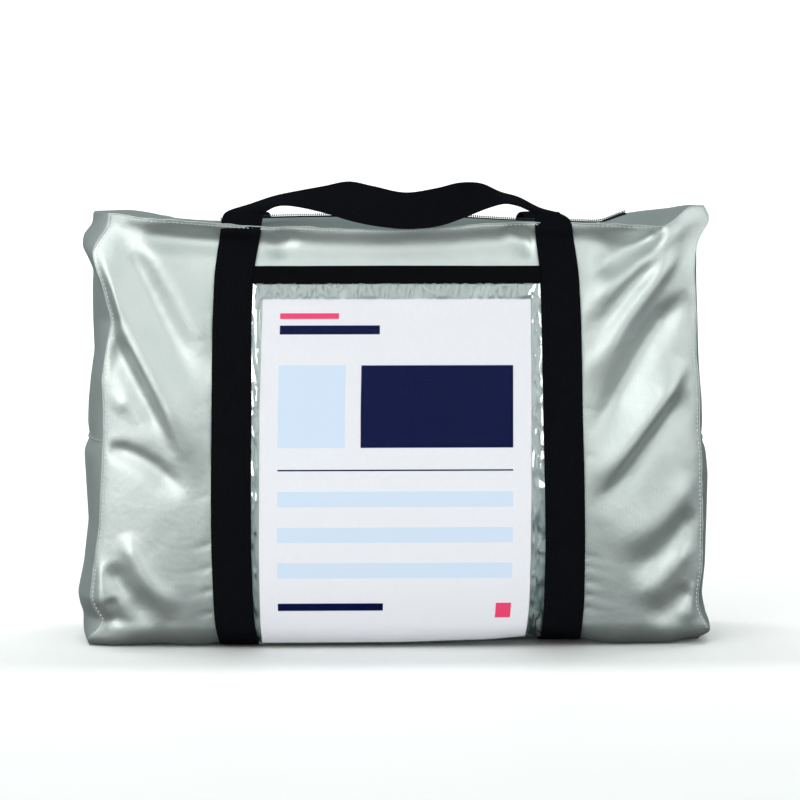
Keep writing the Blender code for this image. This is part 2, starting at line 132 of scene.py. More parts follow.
# Height, then the edges of the left strap, the card and the right strap.
STRIPS = as_table(
    (0, -137, -106.5, -104, 101, 113.5, 145),
    (20, -141, -110, -105.5, 102.5, 114.5, 145.5),
    (35, -141.9, -111, -106, 104, 115.5, 147),
    (82, -143.4, -112.4, -106.5, 105, 116.3, 147.2),
    (128, -143.4, -112.4, -106, 105.2, 115.5, 146.5),
    (190, -142.6, -111.6, -105.5, 105.2, 114.2, 145),
    (252, -141.9, -111.6, -103.5, 105.2, 113.2, 144.2),
    (292, -140.3, -110.1, -102.3, 105.2, 112.4, 142.6),
    (320, -136.4, -105.4, -100, 104, 109.3, 138.8),
    (340, -133.5, -102, -98, 102, 107, 136),
)
BANDS = ("left face", "left strap", "left margin", "card", "right margin", "right strap", "right face")
BAND_CELLS = (46, 8, 5, 44, 6, 8, 46)

# Folds of the front: x and z of four places along each, its rise, and its spread above and below.
FOLDS = as_table(
    (-201, 331, -178, 294, -153, 249, -143, 216, 2.5, 14, 8),
    (-216, 328, -193, 284, -170, 237, -148, 200, -4, 9, 10),
    (-237, 314, -216, 266, -184, 200, -147, 127, 8.5, 17, 7),
    (-224, 249, -209, 227, -191, 194, -170, 151, -4.5, 5, 13),
    (-228, 157, -209, 155, -185, 142, -162, 118, -4, 5, 8),
    (-224, 197, -205, 191, -190, 171, -174, 154, 2.5, 10, 8),
    (-212, 92, -201, 68, -185, 44, -165, 29, 4, 6, 9),
    (-224, 68, -215, 51, -201, 35, -185, 21, -3.8, 9, 7),
    (-235, 72, -233, 54, -230, 34, -223, 13, 3.5, 7, 6),
    (-223, 41, -221, 34, -219, 24, -219, 15, -3, 4, 5),
    (-78, 325, -83, 319, -89, 313, -97, 306, -3, 6, 5),
    (88, 331, 95, 322, 103, 313, 109, 303, -4, 5, 5),
    (210, 330, 193, 316, 171, 302, 147, 297, -8.5, 12, 6),
    (230, 335, 207, 314, 167, 280, 147, 244, 5, 9, 11),
    (205, 306, 185, 284, 165, 258, 151, 231, -3.4, 7, 7),
    (224, 316, 201, 285, 174, 250, 149, 202, 5.5, 8, 7),
    (229, 278, 207, 255, 182, 216, 150, 154, -8, 8, 14),
    (227, 225, 202, 182, 179, 154, 150, 116, 6, 14, 6),
    (230, 203, 202, 170, 174, 131, 149, 110, -4.8, 5, 12),
    (233, 136, 210, 105, 188, 90, 162, 76, 3.5, 13, 11),
    (235, 110, 212, 80, 195, 66, 179, 56, -4.2, 8, 9),
    (233, 82, 213, 60, 198, 44, 185, 30, 3, 8, 9),
    (232, 48, 222, 37, 210, 27, 196, 19, -3, 9, 8),
    (239, 51, 235, 38, 230, 27, 224, 16, 2.5, 5, 6),
)
BACK_FOLD_SHARE = 0.6

# Along the front: how far its top seam stands out over the hollow below it.
LEDGE = as_table(
    (-222, 0), (-205, 2), (-186, 5), (-165, 6.5), (-140, 6.5), (-105, 4), (-60, 3.5), (60, 3.5),
    (105, 4), (145, 3), (175, 4), (205, 2), (222, 0),
)

# Loop of the front handle past its straps: the edge that starts outside, then the one inside.
FRONT_HANDLE = as_table(
    (-134.6, -52, 334, -103, -52, 334), (-132.5, -50, 339, -101.5, -52, 339),
    (-127, -46, 342, -99, -54, 341.5), (-113, -38, 346, -94, -54, 344.5),
    (-94, -30, 352, -86, -56, 346), (-75, -30, 356, -73, -56, 344.5), (-55, -38, 360, -54, -58, 340),
    (-36, -48, 364, -34, -62, 334), (-18, -56, 361, -14, -64, 330), (7, -60, 356, 9, -66, 328),
    (31, -56, 359, 33, -64, 330), (50, -48, 363, 52, -60, 336), (67, -38, 362, 70, -56, 343),
    (83, -30, 355, 83.5, -56, 347), (97, -32, 351, 93, -56, 346), (113, -38, 343, 101, -54, 343),
    (128, -48, 339, 107, -52, 339), (136, -52, 334, 108.5, -52, 334),
)

# Loop of the back handle, which has dropped over behind the bag.
BACK_HANDLE = as_table(
    (-135, 52, 328, -104, 52, 328), (-132.5, 59, 335, -101.5, 59, 335), (-129, 70, 331, -98, 70, 332),
    (-126, 76, 317, -95, 76, 319), (-122, 80, 296, -91, 80, 303), (-110, 82, 274, -82, 81, 289),
    (-84, 84, 257, -66, 82, 281), (-48, 85, 248, -40, 83, 277), (2, 86, 245, 2, 83, 275),
    (50, 85, 247, 43, 83, 276), (88, 84, 256, 70, 82, 280), (114, 82, 274, 86, 81, 288),
    (126, 80, 296, 95, 80, 303), (130, 76, 317, 99, 76, 319), (133, 70, 331, 102, 70, 332),
    (136, 59, 335, 106, 59, 335), (138, 52, 328, 108, 52, 328),
)
HANDLE_STATIONS = 200

CROSS_SEAM_Z = 162.0
ZIP_EDGES = (0.5, 0.77)
ZIP_HALF_LENGTH = 186.0
ZIP_SHOWS_FROM = -136.0  # the left end of the zip lies sunk under its seam
RIDGE = as_table((0, 0), (0.38, 1), (0.62, 0.8), (1, 0))  # from seam to seam, share of the ridge
END_SHARPNESS = 6  # how soon the top and the base take up the swell of the gussets at their ends
CORNER_SQUARE = 0.6  # share of the roll that is missing at the corners of the base
TOP_SIDES = 332.0  # height in SIDES that stands for the top seam

# How square the crown is: along the bag a power of the place and one of what is left, and up the bag.
CROWN_ACROSS = (5, 0.75)
CROWN_UP = 5

# Where the corners begin, from the middle of a row (0) to its ends (1).
CORNER_START = 0.78
PINCH_START = 0.86
PINCH_TOP_FROM = 290.0  # the top corners' pinch grows from here, over the height below
PINCH_TOP_OVER = 45.0
PINCH_BASE_BELOW = 40.0
PINCH_BASE_SHARE = 0.5

CROSS_SEAM_DENT = 2.5
CROSS_SEAM_REACH = 7.0
SWELL_SQUARENESS = 2.4  # how flat a gusset's swell is between its two seams
BASE_FLAT_FROM = 0.2  # share of the way between the seams from which the base lies flat

# Distances over which the corners of the tables are rounded.
SIDES_REACH = 4.0
DEPTH_REACH = 20.0
FILL_REACH = 25.0
TOP_REACH = 5.0
STRIPS_REACH = 12.0
LEDGE_REACH = 12.0

# How a fold grows along its line: its spread at the start, what is added by the end, the share of
# the line over which it rises, what it has of that at once, and the share over which it runs out.
FOLD_STATIONS = 22
FOLD_SPREAD = 0.55
FOLD_WIDENING = 0.6
FOLD_ONSET = 0.25
FOLD_HEAD_START = 0.1
FOLD_RUNOUT = 0.35
FOLD_SHARPNESS = 1.5
FOLD_ROUNDING = 3.0  # over this the crest of a fold is rounded

# Distances over which the folds die away.
FADE_BESIDE_STRAPS = 5.0
FADE_BETWEEN_STRAPS = 8.0
FADE_ABOVE_BINDING = 10.0
FADE_AT_SIDE_SEAM = 9.0
FADE_AT_TOP_SEAM = 2.5
FADE_AT_FLOOR = 14.0

# How the stand of the top seam dies away, and the hollow below it.
STAND_OVER = 8.0
HOLLOW_SHARE = 0.7
HOLLOW_BELOW = 15.0
HOLLOW_REACH = 9.0

# The groove that a tight seam draws beside it.
GROOVE_DEPTH = 0.15
GROOVE_REACH = 3.0
GROOVE_START = 1.0

# Puckers where the cloth is sewn under the webbing, left and right: height and depth.
PUCKERS = {
    -1: (
        (265, 0.5), (244, 0.4), (193, 0.5), (173, 0.4), (123, 0.5), (84, 1.0), (66, 1.1), (48, 1.2),
        (30, 1.1),
    ),
    1: (
        (271, 0.6), (234, 0.5), (189, 0.6), (153, 0.9), (113, 0.5), (74, 1.1), (66, 0.8), (54, 1.2),
        (43, 1.2), (33, 1.0),
    ),
}
PUCKER_EDGE = 1.5  # distance from the strap over which a pucker reaches its depth
PUCKER_LENGTH = 8.0
PUCKER_WIDTH = 2.6
PUCKER_SLOPE = 0.25

# Small creases of the cloth: scale of the noise across and along them, its shift, and their height.
CREASE_LEAN = 0.55
FINE_CREASES = (0.055, 0.016, 0.0, 0.25)
BROAD_CREASES = (0.021, 0.011, 7.3, 0.35)
SMALL_CREASES = (0.11, 0.1, 3.1, 0.05)

STITCH_HEIGHTS = (-0.35, 0.15, 0.25, 0.15, -0.35)  # of a thread's points over what it is sewn into
WELT_SWAY = (0.3, 0.5, 0.9)  # how far a seam's turned edge wanders along, across and up
WELT_SWAY_SCALE = 0.09
FIRST_SEAM_ROW = 8  # the roll under the base hides the seam below this row
CORNER_ROWS = 3  # rows and columns at the corners that no thread reaches
COIL_HALF_WIDTH = 2.3
COIL_STAND = 0.9  # of the zip's coil over its tape
COIL_ARCH = (0.0, 0.7, 1.0, 1.0, 0.7, 0.0)

STRAP_TOP_ROW = -6  # row of a face from which the webbing leaves it as a handle
STRAP_EASE = 5  # columns over which the base comes down from a strap to the floor
WEBBING_PROFILE = (0.55, 0.95, 1, 1, 1, 1, 1, 0.95, 0.55)  # thickness across, thinner at the selvedges
PATH_STEPS = 12  # points of a curve worked out between two of its table's
SIDE_CROWDING = 1.3  # how much closer the columns lie at the side seams
TOP_CROWDING = 1.5  # and the rows at the top seam
TUBE_TIP = 0.02
BAG_MIDDLE = np.array((0.0, 0.0, 165.0))  # a place inside the bag, to tell out from in


# ---------------- surfaces


def smooth(values):
    """0 below 0 and 1 above 1, with no corner at either end."""
    t = np.clip(values, 0.0, 1.0)
    return t * t * (3.0 - 2.0 * t)


def read(table, at, column):
    return np.interp(at, table[:, 0], table[:, column])


def soft_read(table, at, column, reach=9.0):
    """The table read with its corners rounded over `reach`."""
    offsets = np.linspace(-reach, reach, 7)
    weights = np.cos(offsets / reach * np.pi / 2) + 0.05
    total = sum(w * read(table, np.asarray(at) + o, column) for o, w in zip(offsets, weights))
    return total / weights.sum()


def fold_field(x, z, folds):
    """Sum of the folds at a place on the front panel: narrow at the ears, wider as they run out."""
    total = np.zeros_like(x)
    for row in folds:
        line = smooth_path(row[:8].reshape(4, 2), FOLD_STATIONS)
        rise, above, below = row[8:]
        runs_right = np.sign(line[-1, 0] - line[0, 0])
        nearest = np.full_like(x, np.inf)
        along, side = np.zeros_like(x), np.ones_like(x)
        for i, ((x0, z0), (x1, z1)) in enumerate(zip(line[:-1], line[1:])):
            dx, dz = x1 - x0, z1 - z0
            t = np.clip(((x - x0) * dx + (z - z0) * dz) / (dx * dx + dz * dz), 0.0, 1.0)
            away = np.hypot(x - x0 - t * dx, z - z0 - t * dz)
            closer = away < nearest
            nearest = np.where(closer, away, nearest)
            along = np.where(closer, (i + t) / (FOLD_STATIONS - 1), along)
            side = np.where(closer, (dx * (z - z0) - dz * (x - x0)) * runs_right, side)
        reach = np.where(side > 0, above, below) * (FOLD_SPREAD + FOLD_WIDENING * along)
        rounded = np.sqrt(nearest**2 + FOLD_ROUNDING**2) - FOLD_ROUNDING
        crest = np.exp(-((rounded / reach) ** FOLD_SHARPNESS))
        onset = smooth(along / FOLD_ONSET + FOLD_HEAD_START)
        total += rise * crest * onset * smooth((1.0 - along) / FOLD_RUNOUT)
    return total


def puckers(x, z):
    """Short troughs that run out from the outer edges of the straps."""
    total = np.zeros_like(x)
    for side, column in ((-1, 1), (1, 6)):
        away = side * (x - read(STRIPS, z, column))
        lip = smooth(away / PUCKER_EDGE) * np.exp(-np.maximum(away, 0.0) / PUCKER_LENGTH)
        for height, depth in PUCKERS[side]:
            over = z - height + PUCKER_SLOPE * away
            total -= depth * lip * np.exp(-((over / PUCKER_WIDTH) ** 2))
    return total


def wander(u, v, kind, seed):
    """Noise of one kind at a place."""
    scale_u, scale_v, shift, height = kind
    return height * noise.noise(Vector((u * scale_u, v * scale_v, seed + shift)))


def crinkles(x, z, seed):
    """Small uneven creases that run along the big folds."""
    total = np.zeros_like(x)
    for at in np.ndindex(x.shape):
        px, pz = x[at], z[at]
        lean = CREASE_LEAN if px < 0 else -CREASE_LEAN
        along, across = pz + lean * px, px - lean * pz
        total[at] = wander(across, along, FINE_CREASES, seed) + wander(across, along, BROAD_CREASES, seed)
        total[at] += wander(px, pz, SMALL_CREASES, seed)
    return total


def ledge(x, below):
    """The top seam's stand and the hollow under it, at a distance below the seam."""
    hollow = HOLLOW_SHARE * np.exp(-(((below - HOLLOW_BELOW) / HOLLOW_REACH) ** 2))
    return soft_read(LEDGE, x, 1, LEDGE_REACH) * (np.exp(-((below / STAND_OVER) ** 2)) - hollow)


def strap_fade(x, z):
    """0 on a strap or the pocket, 1 on open cloth."""
    outside = np.maximum(read(STRIPS, z, 1) - x, x - read(STRIPS, z, 6))
    above = (z - BINDING_TOP) / FADE_ABOVE_BINDING
    between = np.minimum(x - read(STRIPS, z, 2), read(STRIPS, z, 5) - x) / FADE_BETWEEN_STRAPS
    return np.maximum(smooth(outside / FADE_BESIDE_STRAPS), smooth(np.minimum(above, between)))


# Rows of a panel: angles on the roll under the base, heights up the face, shares of the way on up.
ROLL = np.radians(np.linspace(90, 0, 13)[:-1])
FACE_ROWS, STRIP_ROWS = 116, 8
FACE = np.concatenate(
    [
        np.linspace(BASE_ROLL, CARD_TOP, FACE_ROWS),
        np.linspace(CARD_TOP, BINDING_BOTTOM, STRIP_ROWS + 1)[1:],
        np.linspace(BINDING_BOTTOM, BINDING_TOP, STRIP_ROWS + 1)[1:],
    ]
)
TOP_ROWS = 1.0 - (1.0 - np.linspace(0, 1, 19)[1:]) ** TOP_CROWDING
ROWS = len(ROLL) + len(FACE) + len(TOP_ROWS)
COLUMNS = sum(BAND_CELLS) + 1
CARD_TOP_ROW = len(ROLL) + FACE_ROWS - 1
BINDING_ROW = CARD_TOP_ROW + STRIP_ROWS
BINDING_TOP_ROW = BINDING_ROW + STRIP_ROWS
FILM_BOTTOM_ROW = 5


def column_lines(z):
    """X of every column at height z, with a column on each edge of the strips."""
    sides = [soft_read(SIDES, z, c, SIDES_REACH) for c in (1, 3)]
    strips = [soft_read(STRIPS, z, c, STRIPS_REACH) for c in range(1, 7)]
    edges = [sides[0]] + strips + [sides[1]]
    xs = [edges[0]]
    for band, start, end, cells in zip(BANDS, edges, edges[1:], BAND_CELLS):
        share = np.arange(1, cells + 1) / cells
        if band == "left face":
            share = share**SIDE_CROWDING
        elif band == "right face":
            share = 1.0 - (1.0 - share) ** SIDE_CROWDING
        xs += list(start + (end - start) * share)
    return np.array(xs)


def first_column(band):
    return sum(BAND_CELLS[: BANDS.index(band)])


def last_column(band):
    return first_column(band) + BAND_CELLS[BANDS.index(band)]


def columns_of(band):
    return slice(first_column(band), last_column(band) + 1)


def from_middle(x):
    """0 half way between a row's ends, 1 at both."""
    return np.abs(2.0 * (x - x[0]) / (x[-1] - x[0]) - 1.0)


def strap_rest():
    """Height of the base over each column: let up on the straps, and in part beside them."""
    straps = np.zeros(COLUMNS)
    for band in ("left strap", "right strap"):
        straps[columns_of(band)] = 1.0
    steps = range(1 - STRAP_EASE, STRAP_EASE)
    near = np.maximum.reduce([np.roll(straps, s) * (1 - abs(s) / STRAP_EASE) for s in steps])
    return STRAP_REST * np.where(straps > 0, 1.0, smooth(near))


def roll_row(angle):
    """A row on the roll under the base: x and z of its points, and how far each is tucked under."""
    x = column_lines(BASE_ROLL * (1 - np.sin(angle)))
    floor = strap_rest() + soft_read(BASE_LIFT, x, 1, SIDES_REACH)
    z = floor + (BASE_ROLL - floor) * (1 - np.sin(angle))
    to_corner = smooth((from_middle(x) - CORNER_START) / (1 - CORNER_START))
    radius = BASE_ROLL * (1 - CORNER_SQUARE * to_corner)
    return x, z, radius * (1 - np.cos(angle))


def face_row(height):
    """A level row of the face, with nothing tucked under."""
    return column_lines(height), np.full(COLUMNS, height), np.zeros(COLUMNS)


def top_row(share, seam_column):
    """A row between the binding's height and the top seam."""
    x = column_lines(BINDING_TOP + share * (TOP_SIDES - BINDING_TOP))
    z = BINDING_TOP + share * (soft_read(TOP_SEAM, x, seam_column, TOP_REACH) - BINDING_TOP)
    return x, z, np.zeros(COLUMNS)


def crown_share(x, z, top):
    """How much of the crown a row's points have: none at the seams round it, all where it is fullest."""
    across = 1.0 - from_middle(x) ** CROWN_ACROSS[0]
    up = 1.0 - np.clip(z / top, 0.0, 1.0) ** CROWN_UP
    return across ** CROWN_ACROSS[1] * up * soft_read(FILL, z, 1, FILL_REACH)


def panel(side):
    """Grid of the front (side -1) or back (side +1) panel: rows up from under the base."""
    is_front = side < 0
    seam_column = 1 if is_front else 2
    crown = FRONT_CROWN if is_front else BACK_CROWN
    rows = [roll_row(angle) for angle in ROLL]
    rows += [face_row(height) for height in FACE]
    rows += [top_row(share, seam_column) for share in TOP_ROWS]
    grid, tops = [], []
    for x, z, tuck in rows:
        top = soft_read(TOP_SEAM, x, seam_column, TOP_REACH)
        at_top = smooth((z - PINCH_TOP_FROM) / PINCH_TOP_OVER)
        at_base = smooth((PINCH_BASE_BELOW - z) / PINCH_BASE_BELOW)
        to_corner = smooth((from_middle(x) - PINCH_START) / (1 - PINCH_START))
        pinch = EAR_PINCH * to_corner * (at_top + PINCH_BASE_SHARE * at_base)
        seam = soft_read(SEAM_DEPTH, z, 1, DEPTH_REACH)
        depth = seam + crown * crown_share(x, z, top) - pinch - tuck
        grid.append(np.stack([x, depth, z], axis=1))
        tops.append(top)
    grid, top = np.array(grid), np.array(tops)
    x, z = grid[:, :, 0], grid[:, :, 2]
    to_side = np.minimum(x - x[:, :1], x[:, -1:] - x)
    open_cloth = strap_fade(x, z)
    folds = fold_field(-side * x, z, FOLDS)
    folds *= 1.0 if is_front else BACK_FOLD_SHARE
    folds = (folds + crinkles(x, z, side)) * open_cloth + puckers(x, z)
    edge = smooth(to_side / FADE_AT_SIDE_SEAM) * smooth((top - z) / FADE_AT_TOP_SEAM)
    edge *= smooth(z / FADE_AT_FLOOR)
    to_seam = np.minimum(to_side, top - z)
    groove = np.exp(-((to_seam / GROOVE_REACH) ** 2)) - np.exp(-((to_seam / GROOVE_START) ** 2))
    grid[:, :, 1] += folds * edge - GROOVE_DEPTH * groove * open_cloth
    if is_front:
        grid[:, :, 1] += ledge(x, top - z)
    grid[:, :, 1] *= side
    return grid


GUSSET_LINES = np.linspace(0, 1, 33)


def gusset_side(front, back, column, outwards):
    """Grid between the seams of front and back at one end of the bag."""
    t = GUSSET_LINES[None, :, None]
    grid = (1 - t) * front[:, column][:, None] + t * back[:, column][:, None]
    z = front[:, column, 2]
    swell = soft_read(SIDES, z, 2 if outwards < 0 else 4, SIDES_REACH)
    across = 1.0 - np.abs(2.0 * GUSSET_LINES - 1.0) ** SWELL_SQUARENESS
    seam = CROSS_SEAM_DENT * np.exp(-(((z - CROSS_SEAM_Z) / CROSS_SEAM_REACH) ** 2))
    grid[:, :, 0] += outwards * (swell - seam)[:, None] * across[None, :]
    return grid


def cap(front_row, back_row, left_end, right_end, rise):
    """Grid between two rows of front and back, meeting the end gussets' own edges."""
    t = GUSSET_LINES[None, :, None]
    flat = (1 - t) * front_row[:, None] + t * back_row[:, None]
    u = np.linspace(0.0, 1.0, COLUMNS)[:, None, None]
    to_left, to_right = (1 - u) ** END_SHARPNESS, u**END_SHARPNESS
    grid = flat + to_left * (left_end - flat[0])[None] + to_right * (right_end - flat[-1])[None]
    grid[1:-1, 1:-1, 2] += rise[1:-1, 1:-1]
    return grid


def outward(grid):
    """Unit normals of a grid, by differences along its rows and columns, facing out of the bag."""
    n = np.cross(np.gradient(grid, axis=1), np.gradient(grid, axis=0))
    n /= np.maximum(np.linalg.norm(n, axis=2, keepdims=True), 1e-9)
    return n if np.sum(n * (grid - BAG_MIDDLE)) > 0 else -n


def lengths(grid, axis):
    """Running length along one axis of a grid, in mm, at each of its points."""
    steps = np.linalg.norm(np.diff(grid, axis=axis), axis=2)
    pad = [(0, 0), (0, 0)]
    pad[axis] = (1, 0)
    return np.pad(np.cumsum(steps, axis=axis), pad)


def smooth_path(points, count):
    """A curve through all the points (Catmull-Rom), read at even steps of length."""
    padded = np.vstack([2 * points[0] - points[1], points, 2 * points[-1] - points[-2]])
    fine = []
    for i in range(1, len(padded) - 2):
        p0, p1, p2, p3 = padded[i - 1 : i + 3]
        for t in np.linspace(0, 1, PATH_STEPS, endpoint=False):
            fine.append(
                0.5 * (2 * p1 + (p2 - p0) * t + (2 * p0 - 5 * p1 + 4 * p2 - p3) * t**2
                       + (3 * p1 - p0 - 3 * p2 + p3) * t**3)
            )
    fine.append(points[-1])
    fine = np.array(fine)
    steps = np.linalg.norm(np.diff(fine, axis=0), axis=1)
    run = np.concatenate([[0], np.cumsum(steps)])
    at = np.linspace(0, run[-1], count)
    return np.stack([np.interp(at, run, fine[:, k]) for k in range(fine.shape[1])], axis=1)


# ---------------- meshes


def corners_of(grid):
    """The values at the four corners of every cell of a grid."""
    return np.stack([grid[:-1, :-1], grid[:-1, 1:], grid[1:, 1:], grid[1:, :-1]], axis=2)


def add_object(name, data):
    made = bpy.data.objects.new(name, data)
    bpy.context.scene.collection.objects.link(made)
    return made


def mesh_piece(name, grids, look, closed_rows=False, straight=False, weld=1e-3):
    """A piece from grids of points in mm, joined where they meet, with a weave map in mm.

    A straight weave runs square across the whole strip, as webbing's does.
    """
    points, quads, places, base = [], [], [], 0
    for grid in grids:
        rows, cols = grid.shape[:2]
        index = base + np.arange(rows * cols).reshape(rows, cols)
        if closed_rows:
            index = np.vstack([index, index[:1]])
            grid = np.concatenate([grid, grid[:1]])
        u, v = lengths(grid, 1), lengths(grid, 0)
        if straight:
            u, v = u.mean(0)[None] + 0 * u, v.mean(1)[:, None] + 0 * v
        place = np.stack([u, v], axis=2)
        points.append(grid[:rows].reshape(-1, 3))
        quads.append(corners_of(index).reshape(-1, 4))
        places.append(corners_of(place).reshape(-1, 4, 2))
        base += rows * cols
    points = np.concatenate(points)
    quads = np.concatenate(quads)
    places = np.concatenate(places)
    _, first, back = np.unique(
        np.round(points / weld).astype(np.int64), axis=0, return_index=True, return_inverse=True
    )
    quads = back.reshape(-1)[quads]
    whole = np.array([len(set(q)) == 4 for q in quads])
    mesh = bpy.data.meshes.new(name)
    mesh.from_pydata((points[first] * MM).tolist(), [], quads[whole].tolist())
    layer = mesh.uv_layers.new(name="weave")
    layer.data.foreach_set("uv", places[whole].reshape(-1).astype(np.float32))
    mesh.validate()
    mesh.materials.append(look)
    made = add_object(name, mesh)
    face_out(made)
    mesh.shade_smooth()
    return made


def face_out(piece):
    """Turns a closed mesh's faces outwards."""
    shape = bmesh.new()
    shape.from_mesh(piece.data)
    bmesh.ops.recalc_face_normals(shape, faces=shape.faces)
    shape.to_mesh(piece.data)
    shape.free()


def layer_piece(name, grid, out, inner, outer, look, closed_rows=False, straight=True):
    """A closed sheet on a grid, between two distances along the normals `out`."""
    low = grid + out * np.asarray(inner)
    high = grid + out * np.asarray(outer)
    sides = [np.stack([low[:, 0], high[:, 0]], axis=1), np.stack([low[:, -1], high[:, -1]], axis=1)]
    grids = [low, high] + sides
    if not closed_rows:
        grids += [np.stack([low[0], high[0]]), np.stack([low[-1], high[-1]])]
    made = mesh_piece(name, grids, look, closed_rows, straight)
    made.data.set_sharp_from_angle(angle=np.radians(50))
    return made


def tube_grid(line, radius, sides=8):
    """Rings round a line of points, drawn in to a point at both ends."""
    ahead = np.gradient(line, axis=0)
    ahead /= np.linalg.norm(ahead, axis=1, keepdims=True)
    right = np.cross(ahead[0], (0.31, 0.87, 0.39))
    rights = []
    for direction in ahead:
        right = right - direction * np.dot(right, direction)
        right /= np.linalg.norm(right)
        rights.append(right)
    rights = np.array(rights)
    ups = np.cross(ahead, rights)
    turn = np.linspace(0, 2 * np.pi, sides + 1)[None, :, None]
    size = np.full(len(line), radius)
    size[0] = size[-1] = TUBE_TIP
    rim = np.cos(turn) * rights[:, None] + np.sin(turn) * ups[:, None]
    return line[:, None] + size[:, None, None] * rim


def even_line(points, pitch):
    """The line read again at even steps of about `pitch`."""
    run = np.concatenate([[0], np.cumsum(np.linalg.norm(np.diff(points[:, :3], axis=0), axis=1))])
    at = np.linspace(0, run[-1], max(int(run[-1] / pitch), 2) + 1)
    return np.stack([np.interp(at, run, points[:, k]) for k in range(points.shape[1])], axis=1)


def stitch_grids(line, out, pitch=3.4, length=2.5):
    """Short threads along a line that dip into the cloth at both ends."""
    both = even_line(np.hstack([line, out]), pitch)
    grids = []
    for here, there in zip(both[:-1], both[1:]):
        share = np.linspace(0, length / pitch, len(STITCH_HEIGHTS))[:, None]
        heights = np.array(STITCH_HEIGHTS)[:, None]
        thread_line = here[:3] + (there[:3] - here[:3]) * share + here[3:] * heights
        grids.append(tube_grid(thread_line, radius=0.25, sides=6))
    return grids


def inset_from_side(grid, out, column, distance):
    """The line at a distance in mm from one side of a grid, with its normals."""
    order = slice(None) if column == 0 else slice(None, None, -1)
    line = []
    for points, normals in zip(grid[:, order], out[:, order]):
        run = np.concatenate([[0], np.cumsum(np.linalg.norm(np.diff(points, axis=0), axis=1))])
        both = np.hstack([points, normals])
        line.append([np.interp(distance, run, both[:, k]) for k in range(6)])
    line = np.array(line)
    return line[:, :3], line[:, 3:]


# ---------------- materials


class Look:
    """A material with helpers that add nodes to its Principled shader."""

    def __init__(self, name, colour, roughness, metallic=0.0):
        self.made = bpy.data.materials.new(name)
        self.made.use_nodes = True
        self.tree = self.made.node_tree
        self.shader = self.tree.nodes["Principled BSDF"]
        self.set("Base Color", (*colour, 1.0))
        self.set("Roughness", roughness)
        self.set("Metallic", metallic)

    def set(self, socket, value):
        self.shader.inputs[socket].default_value = value

    def feed(self, socket, value):
        """Links a socket to another's output, or sets its own value."""
        if hasattr(value, "links"):
            self.tree.links.new(value, socket)
        else:
            socket.default_value = value

    def add(self, kind, **inputs):
        node = self.tree.nodes.new("ShaderNode" + kind)
        for name, value in inputs.items():
            self.feed(node.inputs[name], value)
        return node

    def math(self, operation, first, second=0.0, third=None):
        node = self.tree.nodes.new("ShaderNodeMath")
        node.operation = operation
        for socket, value in zip(node.inputs, (first, second, third)):
            if value is not None:
                self.feed(socket, value)
        return node.outputs[0]

    def times(self, first, second):
        return self.math("MULTIPLY", first, second)

    def weave_place(self):
        uv = self.tree.nodes.new("ShaderNodeUVMap")
        uv.uv_map = "weave"
        split = self.add("SeparateXYZ", Vector=uv.outputs[0])
        return split.outputs[0], split.outputs[1]

    def place(self):
        return self.tree.nodes.new("ShaderNodeTexCoord").outputs["Object"]

    def noise(self, scale, detail=2.0, roughness=0.5):
        node = self.add("TexNoise", Vector=self.place(), Scale=scale, Detail=detail, Roughness=roughness)
        return node.outputs[0]

    def wave(self, at, pitch, phase=0.0):
        """A sine from 0 to 1 along one coordinate in mm."""
        turns = self.math("MULTIPLY_ADD", at, 2 * np.pi / pitch, phase)
        return self.math("MULTIPLY_ADD", self.math("SINE", turns), 0.5, 0.5)

    def range(self, value, low, high):
        return self.math("MULTIPLY_ADD", value, high - low, low)

    def blend(self, share, dark, light):
        node = self.tree.nodes.new("ShaderNodeMix")
        node.data_type = "RGBA"
        self.tree.links.new(share, node.inputs["Factor"])
        for socket, value in ((6, dark), (7, light)):
            self.feed(node.inputs[socket], value if hasattr(value, "links") else (*value, 1.0))
        return node.outputs[2]

    def link(self, value, socket):
        self.tree.links.new(value, self.shader.inputs[socket])

    def bump(self, height, strength, distance, under=None):
        node = self.add("Bump", Strength=strength, Distance=distance, Height=height)
        if under is not None:
            self.tree.links.new(under, node.inputs["Normal"])
        return node.outputs[0]


def silver_cloth():
    look = Look("silver_cloth", (0.6, 0.66, 0.645), 0.44, 0.9)
    u, v = look.weave_place()
    warp, weft = look.wave(u, 1.05), look.wave(v, 0.9)
    threads = look.times(warp, weft)
    broad = look.noise(22.0, 3.0)
    fine = look.noise(160.0, 3.0, 0.6)
    grain = look.math("MULTIPLY_ADD", look.noise(1500.0, 1.0), 0.5, look.times(threads, 0.25))
    share = look.math("MULTIPLY_ADD", broad, 0.6, grain)
    look.link(look.blend(share, (0.5, 0.56, 0.55), (0.7, 0.74, 0.725)), "Base Color")
    look.link(look.range(look.math("MULTIPLY_ADD", fine, 0.5, broad), 0.42, 0.53), "Roughness")
    crinkle = look.bump(fine, 0.12, 0.0012)
    soft = look.bump(look.noise(55.0, 2.0), 0.12, 0.004, crinkle)
    look.link(look.bump(threads, 0.32, 0.0002, soft), "Normal")
    return look.made


